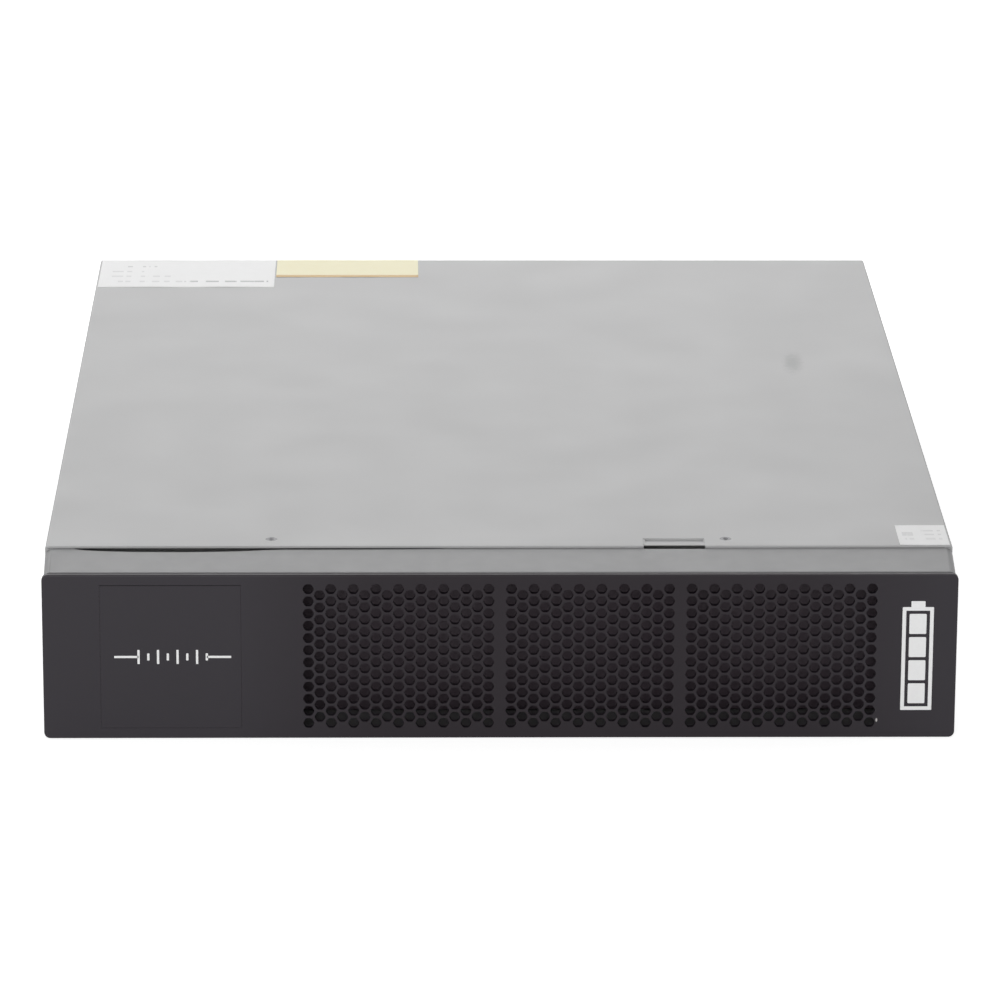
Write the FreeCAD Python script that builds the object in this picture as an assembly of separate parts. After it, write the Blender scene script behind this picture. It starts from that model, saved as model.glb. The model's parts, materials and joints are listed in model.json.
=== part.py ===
import FreeCAD, Part
import math
import os
from FreeCAD import Vector

# External battery pack for a rack UPS, two rack units high. All sizes in mm.
# X is to the right seen from the front, Y runs to the rear, Z is up.
# The origin is at the middle of the base.

# Overall size and sheet thickness
WIDTH = 438.0
DEPTH = 580.0
HEIGHT = 86.5
SHEET = 1.2

# Black front panel
PANEL_THICK = 3.0
PANEL_LOW = 0.1
PANEL_HIGH = 82.5
PANEL_CORNER = 3.0
PANEL_EDGE = 0.8
PANEL_TAB_X = (-208.0, -104.0, 195.0)
PANEL_TAB_WIDE = 14.0
PANEL_TAB_LONG = 8.0
PANEL_TAB_THICK = 1.0
PANEL_TAB_PLAY = 0.2

# Hexagonal grille: outer limits of the holes, columns in each field, rows in a full column
GRILLE_LEFT = -95.0
GRILLE_RIGHT = 180.3
GRILLE_LOW = 4.8
GRILLE_HIGH = 78.3
GRILLE_FIELDS = (11, 9, 11)
GRILLE_ROWS = 8
HOLE_RADIUS = 4.4

# Blank plate where other models have a display
BLANK_LEFT = -191.5
BLANK_RIGHT = -124.0
BLANK_LOW = 5.4
BLANK_HIGH = 77.4
BLANK_THICK = 0.8
BLANK_SUNK = 0.1
BLANK_GAP = 0.05
BLANK_TOP_GAP = 0.3

# Grey front frame, seen as a sloping band above the panel
FRAME_DEPTH = 30.0
FRAME_WALL = 2.5
FRAME_TAPER = 1.0
FRAME_LOW_FRONT = 0.9
FRAME_LOW_REAR = 0.5
FRAME_HIGH_FRONT = 83.0
FRAME_HIGH_REAR = 85.4
FRAME_CORNER_FRONT = 3.0
FRAME_CORNER_REAR = 3.5
EAR_Z = (15.0, 71.0)
EAR_TALL = 14.0
EAR_REACH = 13.5
RELIEF_LEFT = -206.0
RELIEF_RIGHT = -92.0
RELIEF_DEEP = 2.8

# Sheet case
COVER_GAP = 0.5
COVER_PLAY = 0.1
LIP_LOW = 70.0
TONGUE_X = 84.5
TONGUE_WIDE = 29.5
TONGUE_LONG = 12.0
TONGUE_SHORT = 2.4
TONGUE_SLIT = 0.1
TONGUE_DROP = 0.4
TONGUE_THICK = 0.5
TONGUE_ROOT = 1.0
RAIL_SETBACK = 5.5
RAIL_REACH = 20.0
RAIL_FOLD = 9.0
RAIL_NOTCH = 34.0
FLANGE_WIDE = 12.0
RACK_HOLE_RADIUS = 2.0
RACK_HOLE_SPACING = 40.0
RACK_HOLE_Y = -215.0
RACK_HOLE_Z = 41.0
RECESS = 16.0
REAR_FOLD = 14.0

# Battery door behind the front panel
DOOR_LOW = 5.0
DOOR_HIGH = 79.8
DOOR_FOLD = 5.0
DOOR_PLAY = 0.5
DOOR_EAR_Z = 43.0
DOOR_EAR_TALL = 16.0
DOOR_EAR_END = 3.5
DOOR_SLOTS = 8
DOOR_SLOT_PITCH = 48.0
DOOR_SLOT_WIDE = 30.0
DOOR_SLOT_TALL = 10.0

# Insulating sheet under the cover
FILM_WIDE = 410.0
FILM_THICK = 0.5
FILM_FROM_RAIL = 30.0
FILM_FROM_PANEL = 20.0

# Batteries, laid on their sides with the terminals towards a cable aisle
CELL_LONG = 151.0
CELL_HIGH = 65.0
CELL_DEEP = 94.0
LID_DEEP = 11.0
LID_INSET = 0.8
TAB_LONG = 5.0
TAB_WIDE = 6.35
TAB_THICK = 0.8
TAB_FROM_END = 10.0
TAB_FROM_EDGE = 12.0
TAB_OFFSET = 16.0
AISLE = 12.0
CELL_PITCH = 152.0
TRAY_SHEET = 1.0
TRAY_INNER_X = 1.5
TRAY_WALL = 32.0
TRAY_FRONT_Y = -234.0
TRAY_END_PLAY = 2.0
TRAY_SLOT_WIDE = 70.0
TRAY_SLOT_Z = (12.0, 26.0)
TRAY_SLOT_CLIP = 4.0
STRAP_WIDE = 22.0
STRAP_FOOT = 14.0
LINK_WIDE = 5.0
LINK_THICK = 2.0
LINK_END = 4.0

# Rear panel vents
VENT_COLUMNS = 13
VENT_PITCH = 12.0
VENT_WIDE = 5.0
VENT_FIRST_X = 48.0
VENT_ROWS_Z = ((12.0, 38.0), (46.0, 72.0))

# Rear sockets, and the bars that join them to the batteries
SOCKET_X = (-150.0, -70.0)
SOCKET_Z = 40.0
SOCKET_WIDE = 50.0
SOCKET_TALL = 24.0
SOCKET_WALL = 2.5
SOCKET_CORNER = 2.5
SOCKET_SHORT = 1.0
SOCKET_BODY_LONG = 16.0
SOCKET_EAR = 9.0
SOCKET_RIM = 3.0
SOCKET_RIM_THICK = 2.5
MOUTH_CORNER = 1.0
CONTACT_OFFSET = 12.0
CONTACT_WIDE = 12.0
CONTACT_THICK = 3.0
CONTACT_REACH = 3.0
CONTACT_TAIL = 24.0
BAR_THICK = 3.0
PLUS_BAR_ENDS = (20.0, 5.0)
MINUS_BAR_ENDS = (0.0, 10.0)
PLUS_BAR_Z = (50.0, 60.0)
MINUS_BAR_Z = (26.0, 35.0)
LEAD_FINGER = 8.0
LEAD_RADIUS = 2.2
FUSE_LONG = 19.0
FUSE_BODY = 11.0
FUSE_WIDE = 10.0
FUSE_BLADE = 3.0
POST_X = (-25.0, 55.0)
POST_WIDE = 12.0
POST_DEEP = 6.0
POST_HIGH = 64.0
POST_FOOT_WIDE = 30.0
POST_FOOT_HIGH = 3.8

# Levels that follow from the sizes above
FRONT = -DEPTH / 2
REAR = DEPTH / 2
PANEL_BACK = FRONT + PANEL_THICK
FRAME_BACK = PANEL_BACK + FRAME_DEPTH
COVER_FRONT = FRAME_BACK + COVER_GAP
COVER_UNDER = HEIGHT - SHEET
SIDE_OUT = WIDTH / 2 - SHEET
SIDE_IN = SIDE_OUT - SHEET
SIDE_TOP = COVER_UNDER - COVER_PLAY
RAIL_FRONT = FRAME_BACK + RAIL_SETBACK
PANEL_Y = REAR - RECESS
CONTACT_TAIL_Y = PANEL_Y - CONTACT_TAIL
BAR_Y = CONTACT_TAIL_Y - BAR_THICK
CELL_BASE_Z = SHEET + TRAY_SHEET
CELL_TOP_Z = CELL_BASE_Z + CELL_HIGH
CELLS_INNER_X = TRAY_INNER_X + TRAY_SHEET
TRAY_OUTER_X = CELLS_INNER_X + 2 * CELL_DEEP + AISLE + TRAY_SHEET
AISLE_X = CELLS_INNER_X + CELL_DEEP + AISLE / 2
CELL_FIRST_Y = TRAY_FRONT_Y + TRAY_END_PLAY
TRAY_REAR_Y = CELL_FIRST_Y + 2 * CELL_PITCH + CELL_LONG + TRAY_END_PLAY


def block(x0, x1, y0, y1, z0, z1):
    low = Vector(min(x0, x1), min(y0, y1), min(z0, z1))
    return Part.makeBox(abs(x1 - x0), abs(y1 - y0), abs(z1 - z0), low)


def prism(corners, along):
    # straight solid over a closed outline of points
    return Part.Face(Part.makePolygon(corners + corners[:1])).extrude(along)


def rounded_outline(x0, x1, z0, z1, radius, y):
    r = radius
    m = r * (1 - math.sqrt(0.5))

    def at(x, z):
        return Vector(x, y, z)

    return Part.Wire([
        Part.LineSegment(at(x0 + r, z0), at(x1 - r, z0)).toShape(),
        Part.Arc(at(x1 - r, z0), at(x1 - m, z0 + m), at(x1, z0 + r)).toShape(),
        Part.LineSegment(at(x1, z0 + r), at(x1, z1 - r)).toShape(),
        Part.Arc(at(x1, z1 - r), at(x1 - m, z1 - m), at(x1 - r, z1)).toShape(),
        Part.LineSegment(at(x1 - r, z1), at(x0 + r, z1)).toShape(),
        Part.Arc(at(x0 + r, z1), at(x0 + m, z1 - m), at(x0, z1 - r)).toShape(),
        Part.LineSegment(at(x0, z1 - r), at(x0, z0 + r)).toShape(),
        Part.Arc(at(x0, z0 + r), at(x0 + m, z0 + m), at(x0 + r, z0)).toShape(),
    ])


def clipped_plate(x0, x1, z0, z1, clip, y0, y1):
    # upright plate with its four corners cut off
    outline = [(x0 + clip, z0), (x1 - clip, z0), (x1, z0 + clip), (x1, z1 - clip),
               (x1 - clip, z1), (x0 + clip, z1), (x0, z1 - clip), (x0, z0 + clip)]
    return prism([Vector(x, y0, z) for x, z in outline], Vector(0, y1 - y0, 0))


def folded_sheet(points, sweep, thickness, rounded=True):
    # the points run along the inner face, and the metal lies outside the folds
    wire = Part.makePolygon(points)
    face = wire.makeOffset2D(-thickness, join=0 if rounded else 2, fill=True, openResult=True)
    return face.extrude(sweep)


def mirrored(shape):
    return shape.mirror(Vector(0, 0, 0), Vector(1, 0, 0))


def hexagon(x, z, y, radius):
    corners = []
    for step in range(6):
        turn = math.radians(60 * step)
        corners.append(Vector(x + radius * math.cos(turn), y, z + radius * math.sin(turn)))
    return corners


def grille_centres():
    columns = sum(GRILLE_FIELDS) + len(GRILLE_FIELDS) - 1
    flat = HOLE_RADIUS * math.sqrt(3) / 2
    pitch_x = (GRILLE_RIGHT - GRILLE_LEFT - 2 * HOLE_RADIUS) / (columns - 1)
    pitch_z = (GRILLE_HIGH - GRILLE_LOW - 2 * flat) / (GRILLE_ROWS - 1)
    bars = [GRILLE_FIELDS[0], GRILLE_FIELDS[0] + GRILLE_FIELDS[1] + 1]
    centres = []
    for column in range(columns):
        if column in bars:
            continue
        shift = column % 2
        for row in range(GRILLE_ROWS - shift):
            x = GRILLE_LEFT + HOLE_RADIUS + column * pitch_x
            z = GRILLE_HIGH - flat - (row + 0.5 * shift) * pitch_z
            centres.append((x, z))
    return centres


def panel_tabs():
    # locating tabs on the back, just inside the top and bottom walls of the frame
    low = FRAME_LOW_FRONT + FRAME_WALL + PANEL_TAB_PLAY
    high = FRAME_HIGH_FRONT - FRAME_WALL - PANEL_TAB_PLAY - PANEL_TAB_THICK
    half = PANEL_TAB_WIDE / 2
    tabs = []
    for x in PANEL_TAB_X:
        for z in (low, high):
            tabs.append(block(x - half, x + half, PANEL_BACK - 0.2, PANEL_BACK + PANEL_TAB_LONG,
                              z, z + PANEL_TAB_THICK))
    return tabs


def front_panel():
    half = WIDTH / 2
    outline = rounded_outline(-half, half, PANEL_LOW, PANEL_HIGH, PANEL_CORNER, FRONT)
    plate = Part.Face(outline).extrude(Vector(0, PANEL_THICK, 0))
    rim = [e for e in plate.Edges if e.BoundBox.YMax < FRONT + 0.01]
    plate = plate.makeChamfer(PANEL_EDGE, rim)
    plate = plate.cut(block(BLANK_LEFT, BLANK_RIGHT, FRONT - 1, FRONT + BLANK_THICK + BLANK_SUNK,
                            BLANK_LOW, BLANK_HIGH))
    plate = plate.fuse(panel_tabs())
    holes = []
    for x, z in grille_centres():
        holes.append(prism(hexagon(x, z, FRONT - 1, HOLE_RADIUS), Vector(0, PANEL_THICK + 2, 0)))
    return plate.cut(Part.Compound(holes))


def display_blank():
    g = BLANK_GAP
    y0 = FRONT + BLANK_SUNK
    return block(BLANK_LEFT + g, BLANK_RIGHT - g, y0, y0 + BLANK_THICK,
                 BLANK_LOW + g, BLANK_HIGH - BLANK_TOP_GAP)


def frame_inside(y, half, low, high):
    x = half - FRAME_WALL
    z0 = low + FRAME_WALL
    z1 = high - FRAME_WALL
    return Part.makePolygon([Vector(-x, y, z0), Vector(x, y, z0), Vector(x, y, z1), Vector(-x, y, z1),
                             Vector(-x, y, z0)])


def front_frame():
    # a tapering tube, lofted between the outline behind the panel and the one at the case
    rear = WIDTH / 2
    front = rear - FRAME_TAPER
    outer = Part.makeLoft([
        rounded_outline(-front, front, FRAME_LOW_FRONT, FRAME_HIGH_FRONT, FRAME_CORNER_FRONT, PANEL_BACK),
        rounded_outline(-rear, rear, FRAME_LOW_REAR, FRAME_HIGH_REAR, FRAME_CORNER_REAR, FRAME_BACK),
    ], True, True)
    inner = Part.makeLoft([
        frame_inside(PANEL_BACK, front, FRAME_LOW_FRONT, FRAME_HIGH_FRONT),
        frame_inside(FRAME_BACK, rear, FRAME_LOW_REAR, FRAME_HIGH_REAR),
    ], True, True)
    frame = outer.cut(inner)
    # fixing ears on the left and right walls
    for z in EAR_Z:
        ear = block(rear - EAR_REACH, rear - 1, FRAME_BACK - FRAME_WALL, FRAME_BACK,
                    z - EAR_TALL / 2, z + EAR_TALL / 2)
        frame = frame.fuse([ear, mirrored(ear)])
    # shallow arc in the rear top edge, left of the middle
    z = FRAME_HIGH_REAR - 2 * FRAME_WALL
    a = Vector(RELIEF_LEFT, FRAME_BACK, z)
    b = Vector((RELIEF_LEFT + RELIEF_RIGHT) / 2, FRAME_BACK - RELIEF_DEEP, z)
    c = Vector(RELIEF_RIGHT, FRAME_BACK, z)
    arc = Part.Wire([Part.Arc(a, b, c).toShape(), Part.LineSegment(c, a).toShape()])
    frame = frame.cut(Part.Face(arc).extrude(Vector(0, 0, 3 * FRAME_WALL)))
    return frame.removeSplitter()


def rack_holes():
    # two rows of two tapped holes in each side, for the rack ears
    half = RACK_HOLE_SPACING / 2
    holes = []
    for y in (RACK_HOLE_Y - half, RACK_HOLE_Y + half):
        for z in (RACK_HOLE_Z - half, RACK_HOLE_Z + half):
            start = Vector(-WIDTH / 2, y, z)
            holes.append(Part.makeCylinder(RACK_HOLE_RADIUS, WIDTH, start, Vector(1, 0, 0)))
    return Part.Compound(holes)


def chassis_tray():
    points = [Vector(-SIDE_IN, FRAME_BACK, SIDE_TOP), Vector(-SIDE_IN, FRAME_BACK, SHEET),
              Vector(SIDE_IN, FRAME_BACK, SHEET), Vector(SIDE_IN, FRAME_BACK, SIDE_TOP)]
    tray = folded_sheet(points, Vector(0, REAR - FRAME_BACK, 0), SHEET)
    flange = block(SIDE_IN - FLANGE_WIDE, SIDE_OUT, FRAME_BACK, FRAME_BACK + SHEET, SHEET, SIDE_TOP)
    tray = tray.fuse([flange, mirrored(flange)])
    return tray.cut(rack_holes()).removeSplitter()


def top_cover():
    inner = WIDTH / 2 - SHEET
    points = [Vector(inner, COVER_FRONT, LIP_LOW), Vector(inner, COVER_FRONT, COVER_UNDER),
              Vector(-inner, COVER_FRONT, COVER_UNDER), Vector(-inner, COVER_FRONT, LIP_LOW)]
    cover = folded_sheet(points, Vector(0, REAR - COVER_FRONT, 0), SHEET)
    # finger tongue: a strip of the front edge, coined thin and set down, with an open slot below it
    left = TONGUE_X - TONGUE_WIDE / 2
    right = TONGUE_X + TONGUE_WIDE / 2
    back = COVER_FRONT + TONGUE_LONG
    top = HEIGHT - TONGUE_DROP
    cover = cover.cut(block(left - TONGUE_SLIT, right + TONGUE_SLIT, COVER_FRONT - 1, back,
                            COVER_UNDER - 1, HEIGHT + 1))
    tongue = block(left, right, COVER_FRONT + TONGUE_SHORT, back + TONGUE_ROOT, top - TONGUE_THICK, top)
    return cover.fuse(tongue).removeSplitter()


def cross_rail():
    # angle under the cover's front edge, notched below the tongue
    y0 = RAIL_FRONT
    y1 = FRAME_BACK + RAIL_REACH
    top = SIDE_TOP
    points = [Vector(-SIDE_IN, y0, top - SHEET), Vector(-SIDE_IN, y1 - SHEET, top - SHEET),
              Vector(-SIDE_IN, y1 - SHEET, top - RAIL_FOLD)]
    rail = folded_sheet(points, Vector(2 * SIDE_IN, 0, 0), SHEET, False)
    notch_y = COVER_FRONT + TONGUE_LONG + 2
    half = RAIL_NOTCH / 2
    return rail.cut(block(TONGUE_X - half, TONGUE_X + half, y0 - 1, notch_y, top - 2, top + 1))


def vent_slots():
    slots = []
    for column in range(VENT_COLUMNS):
        x = VENT_FIRST_X + column * VENT_PITCH
        for z0, z1 in VENT_ROWS_Z:
            slots.append(block(x, x + VENT_WIDE, PANEL_Y - 3, PANEL_Y + 2, z0, z1))
    return Part.Compound(slots)


def rear_panel():
    wide = SIDE_IN - SHEET
    front = PANEL_Y - REAR_FOLD
    points = [Vector(-wide, front, SHEET), Vector(-wide, PANEL_Y - SHEET, SHEET),
              Vector(wide, PANEL_Y - SHEET, SHEET), Vector(wide, front, SHEET)]
    panel = folded_sheet(points, Vector(0, 0, SIDE_TOP - SHEET), SHEET, False)
    for x in SOCKET_X:
        w = SOCKET_WIDE / 2
        h = SOCKET_TALL / 2
        panel = panel.cut(block(x - w, x + w, PANEL_Y - 3, PANEL_Y + 2, SOCKET_Z - h, SOCKET_Z + h))
    return panel.cut(vent_slots())


def battery_door():
    # steel plate with two stiffening folds to the rear, a fixing ear at each end and a row of vents
    half = TRAY_OUTER_X + DOOR_PLAY
    y = FRAME_BACK - SHEET
    rear = FRAME_BACK + DOOR_FOLD
    points = [Vector(-half, rear, DOOR_LOW), Vector(-half, FRAME_BACK, DOOR_LOW),
              Vector(-half, FRAME_BACK, DOOR_HIGH), Vector(-half, rear, DOOR_HIGH)]
    door = folded_sheet(points, Vector(2 * half, 0, 0), SHEET, False)
    ear_low = DOOR_EAR_Z - DOOR_EAR_TALL / 2
    ear = block(half - 1, WIDTH / 2 - DOOR_EAR_END, y, FRAME_BACK, ear_low, ear_low + DOOR_EAR_TALL)
    door = door.fuse([ear, mirrored(ear)])
    slots = []
    slot_low = DOOR_EAR_Z - DOOR_SLOT_TALL / 2
    for column in range(DOOR_SLOTS):
        x = (column - DOOR_SLOTS / 2) * DOOR_SLOT_PITCH + (DOOR_SLOT_PITCH - DOOR_SLOT_WIDE) / 2
        slots.append(block(x, x + DOOR_SLOT_WIDE, y - 1, FRAME_BACK + 1, slot_low, slot_low + DOOR_SLOT_TALL))
    return door.cut(Part.Compound(slots)).removeSplitter()


def cover_insulator():
    return block(-FILM_WIDE / 2, FILM_WIDE / 2, RAIL_FRONT + FILM_FROM_RAIL, PANEL_Y - FILM_FROM_PANEL,
                 COVER_UNDER - FILM_THICK, COVER_UNDER)


def battery_tray():
    t = TRAY_SHEET
    x0 = TRAY_INNER_X + t
    x1 = TRAY_OUTER_X - t
    points = [Vector(x0, TRAY_FRONT_Y, TRAY_WALL), Vector(x0, TRAY_FRONT_Y, SHEET + t),
              Vector(x1, TRAY_FRONT_Y, SHEET + t), Vector(x1, TRAY_FRONT_Y, TRAY_WALL)]
    tray = folded_sheet(points, Vector(0, TRAY_REAR_Y - TRAY_FRONT_Y, 0), t, False)
    for y in (TRAY_FRONT_Y, TRAY_REAR_Y - t):
        tray = tray.fuse(block(x0 - t, x1 + t, y, y + t, SHEET, TRAY_WALL))
    # finger slot in the front wall
    mid = (x0 + x1) / 2
    half = TRAY_SLOT_WIDE / 2
    slot = clipped_plate(mid - half, mid + half, *TRAY_SLOT_Z, TRAY_SLOT_CLIP,
                         TRAY_FRONT_Y - 1, TRAY_FRONT_Y + t + 0.5)
    return tray.cut(slot).removeSplitter()


def tab_places(row):
    y0 = CELL_FIRST_Y + row * CELL_PITCH
    return y0 + TAB_FROM_END, y0 + CELL_LONG - TAB_FROM_END


def tab_height(towards):
    # the two columns lie opposite ways up, so their tabs face each other at two heights
    if towards > 0:
        return CELL_TOP_Z - TAB_FROM_EDGE
    return CELL_TOP_Z - TAB_FROM_EDGE - TAB_OFFSET


def tab_x(towards):
    return AISLE_X - towards * (AISLE - TAB_LONG) / 2


def cell(base_x, towards, row):
    # case, slightly smaller lid, and two tab terminals facing the aisle
    y0 = CELL_FIRST_Y + row * CELL_PITCH
    y1 = y0 + CELL_LONG
    lid_x = base_x + towards * (CELL_DEEP - LID_DEEP)
    end_x = base_x + towards * CELL_DEEP
    i = LID_INSET
    solid = block(base_x, lid_x, y0, y1, CELL_BASE_Z, CELL_TOP_Z)
    solid = solid.fuse(block(lid_x, end_x, y0 + i, y1 - i, CELL_BASE_Z + i, CELL_TOP_Z - i))
    z = tab_height(towards)
    for y in tab_places(row):
        solid = solid.fuse(block(end_x, end_x + towards * TAB_LONG, y - TAB_THICK / 2, y + TAB_THICK / 2,
                                 z - TAB_WIDE / 2, z + TAB_WIDE / 2))
    return solid.removeSplitter()


def series_links():
    # flat links along each column, and one across the aisle at the front
    w = LINK_WIDE
    t = LINK_THICK / 2
    e = LINK_END / 2
    links = []
    for towards in (1, -1):
        x = tab_x(towards)
        z = tab_height(towards)
        for row in range(2):
            y0 = tab_places(row)[1] + TAB_THICK / 2
            y1 = tab_places(row + 1)[0] - TAB_THICK / 2
            links.append(block(x - t, x + t, y0, y1, z - w / 2, z + w / 2))
    y = tab_places(0)[0] - TAB_THICK / 2
    low = tab_height(-1) - w / 2
    high = tab_height(1) + w / 2
    left = tab_x(1)
    right = tab_x(-1)
    strip = [(left - e, high), (left - e, high - w), (AISLE_X - e, high - w), (AISLE_X - e, low),
             (right + e, low), (right + e, low + w), (AISLE_X + e, low + w), (AISLE_X + e, high)]
    links.append(prism([Vector(x, y, z) for x, z in strip], Vector(0, -LINK_THICK / 2, 0)))
    return Part.Compound(links)


def hold_down_straps():
    # two folded straps over the blocks, their feet outside the tray walls
    straps = []
    for row in (0, 2):
        y = CELL_FIRST_Y + row * CELL_PITCH + (CELL_LONG - STRAP_WIDE) / 2
        points = [Vector(TRAY_OUTER_X, y, STRAP_FOOT), Vector(TRAY_OUTER_X, y, CELL_TOP_Z),
                  Vector(TRAY_INNER_X, y, CELL_TOP_Z), Vector(TRAY_INNER_X, y, STRAP_FOOT)]
        straps.append(folded_sheet(points, Vector(0, STRAP_WIDE, 0), TRAY_SHEET, False))
    return Part.Compound(straps)


def red_lead():
    y0 = tab_places(2)[1] + TAB_THICK / 2
    return prism(hexagon(tab_x(1), tab_height(1), y0, LEAD_RADIUS), Vector(0, BAR_Y - FUSE_LONG - y0, 0))


def black_lead():
    y0 = tab_places(2)[1] + TAB_THICK / 2
    return prism(hexagon(tab_x(-1), tab_height(-1), y0, LEAD_RADIUS), Vector(0, BAR_Y - y0, 0))


def strip_fuse():
    # bolt-down fuse between the red lead and the plus bar: a body with a blade at each end
    x = tab_x(1) - FUSE_WIDE / 2
    z = tab_height(1)
    y = BAR_Y - FUSE_LONG
    a = (FUSE_LONG - FUSE_BODY) / 2
    b = a + FUSE_BODY
    s = FUSE_BLADE / 2
    h = FUSE_WIDE / 2
    outline = [(0, -s), (a, -s), (a, -h), (b, -h), (b, -s), (FUSE_LONG, -s),
               (FUSE_LONG, s), (b, s), (b, h), (a, h), (a, s), (0, s)]
    return prism([Vector(x, y + dy, z + dz) for dy, dz in outline], Vector(FUSE_WIDE, 0, 0))


def comb_bar(x0, x1, spine_z, edge_z, tip_z, fingers):
    # flat copper bar with a finger to each contact or lead
    outline = [(x0, edge_z), (x0, spine_z), (x1, spine_z), (x1, edge_z)]
    for x, half in sorted(fingers, reverse=True):
        outline += [(x + half, edge_z), (x + half, tip_z), (x - half, tip_z), (x - half, edge_z)]
    return prism([Vector(x, BAR_Y, z) for x, z in outline], Vector(0, BAR_THICK, 0))


def plus_bar():
    fingers = [(x - CONTACT_OFFSET, CONTACT_WIDE / 2) for x in SOCKET_X]
    tip = SOCKET_Z - CONTACT_THICK / 2
    left, right = PLUS_BAR_ENDS
    return comb_bar(SOCKET_X[0] - left, AISLE_X + right, PLUS_BAR_Z[1], PLUS_BAR_Z[0], tip, fingers)


def minus_bar():
    fingers = [(x + CONTACT_OFFSET, CONTACT_WIDE / 2) for x in SOCKET_X]
    fingers += [(side * tab_x(-1), LEAD_FINGER / 2) for side in (-1, 1)]
    tip = SOCKET_Z + CONTACT_THICK / 2
    left, right = MINUS_BAR_ENDS
    return comb_bar(SOCKET_X[0] - left, AISLE_X + right, MINUS_BAR_Z[0], MINUS_BAR_Z[1], tip, fingers)


def bar_supports():
    # moulded posts on the chassis floor that carry both bars
    w = POST_WIDE / 2
    f = POST_FOOT_WIDE / 2
    foot = SHEET + POST_FOOT_HIGH
    posts = []
    for x in POST_X:
        outline = [(-f, SHEET), (f, SHEET), (f, foot), (w, foot), (w, POST_HIGH), (-w, POST_HIGH),
                   (-w, foot), (-f, foot)]
        posts.append(prism([Vector(x + dx, BAR_Y, z) for dx, z in outline], Vector(0, -POST_DEEP, 0)))
    return Part.Compound(posts)


def socket_housing(x):
    w = SOCKET_WIDE / 2
    h = SOCKET_TALL / 2
    z = SOCKET_Z
    c = SOCKET_CORNER
    t = SOCKET_WALL
    e = SOCKET_EAR
    r = SOCKET_RIM
    body = block(x - w, x + w, PANEL_Y - SOCKET_BODY_LONG, PANEL_Y, z - h, z + h)
    body = body.fuse(clipped_plate(x - w, x + w, z - h, z + h, c, PANEL_Y, REAR - SOCKET_SHORT))
    body = body.fuse(clipped_plate(x - w - e, x + w + e, z - h - r, z + h + r, c,
                                   PANEL_Y, PANEL_Y + SOCKET_RIM_THICK))
    body = body.cut(clipped_plate(x - w + t, x + w - t, z - h + t, z + h - t, MOUTH_CORNER, PANEL_Y, REAR))
    return body.cut(socket_contacts(x)).removeSplitter()


def socket_contacts(x):
    half = CONTACT_WIDE / 2
    z0 = SOCKET_Z - CONTACT_THICK / 2
    blades = []
    for middle in (x - CONTACT_OFFSET, x + CONTACT_OFFSET):
        blades.append(block(middle - half, middle + half, CONTACT_TAIL_Y, PANEL_Y + CONTACT_REACH,
                            z0, z0 + CONTACT_THICK))
    return Part.Compound(blades)


def export(name, shape):
    for solid in shape.Solids:
        if not solid.isValid():
            raise ValueError(name + " is not a valid solid")
    shape.exportStep("parts/" + name + ".step")
    print(name, len(shape.Solids), round(shape.Volume, 1))


def export_pair(name, shape):
    export(name + "_right", shape)
    export(name + "_left", mirrored(shape))


def main():
    os.makedirs("parts", exist_ok=True)
    export("front_panel", front_panel())
    export("display_blank", display_blank())
    export("front_frame", front_frame())
    export("chassis_tray", chassis_tray())
    export("top_cover", top_cover())
    export("cross_rail", cross_rail())
    export("rear_panel", rear_panel())
    export("battery_door", battery_door())
    export("cover_insulator", cover_insulator())
    export_pair("battery_tray", battery_tray())
    export_pair("hold_down_straps", hold_down_straps())
    export_pair("series_links", series_links())
    for column, base, towards in (("inner", CELLS_INNER_X, 1), ("outer", TRAY_OUTER_X - TRAY_SHEET, -1)):
        for row in range(3):
            export_pair("battery_%s_%d" % (column, row + 1), cell(base, towards, row))
    export_pair("red_lead", red_lead())
    export_pair("black_lead", black_lead())
    export_pair("strip_fuse", strip_fuse())
    export("plus_bar", plus_bar())
    export("minus_bar", minus_bar())
    export("bar_supports", bar_supports())
    for name, x in zip(("left", "right"), SOCKET_X):
        export("dc_socket_" + name, socket_housing(x))
        export("dc_contacts_" + name, socket_contacts(x))


main()
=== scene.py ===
import json
import math

import bmesh
import bpy
from mathutils import Matrix, Vector


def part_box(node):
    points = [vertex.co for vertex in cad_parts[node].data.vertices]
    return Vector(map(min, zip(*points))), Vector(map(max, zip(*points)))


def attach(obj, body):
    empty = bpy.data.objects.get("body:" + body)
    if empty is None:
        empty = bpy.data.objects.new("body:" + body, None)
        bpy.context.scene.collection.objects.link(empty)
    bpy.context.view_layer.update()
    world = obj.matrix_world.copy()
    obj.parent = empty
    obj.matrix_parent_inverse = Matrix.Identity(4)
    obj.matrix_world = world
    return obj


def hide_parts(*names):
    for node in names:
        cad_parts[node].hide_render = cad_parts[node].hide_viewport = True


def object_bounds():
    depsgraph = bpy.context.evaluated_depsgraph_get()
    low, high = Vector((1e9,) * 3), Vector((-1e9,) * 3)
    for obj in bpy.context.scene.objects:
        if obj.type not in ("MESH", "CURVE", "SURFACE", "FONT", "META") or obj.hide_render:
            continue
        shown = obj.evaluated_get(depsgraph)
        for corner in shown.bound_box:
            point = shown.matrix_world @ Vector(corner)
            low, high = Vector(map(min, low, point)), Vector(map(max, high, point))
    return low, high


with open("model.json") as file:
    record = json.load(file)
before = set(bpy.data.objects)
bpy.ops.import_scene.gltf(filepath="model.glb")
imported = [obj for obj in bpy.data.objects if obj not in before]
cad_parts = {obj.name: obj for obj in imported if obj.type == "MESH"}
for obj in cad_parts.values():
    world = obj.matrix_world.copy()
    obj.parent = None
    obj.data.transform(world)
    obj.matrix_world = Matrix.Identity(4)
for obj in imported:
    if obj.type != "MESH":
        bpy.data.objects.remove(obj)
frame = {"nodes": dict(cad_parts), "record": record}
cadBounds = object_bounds()
mm = 0.001
past = 1 * mm  # a cutting tool runs this far past the face that it opens
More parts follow.
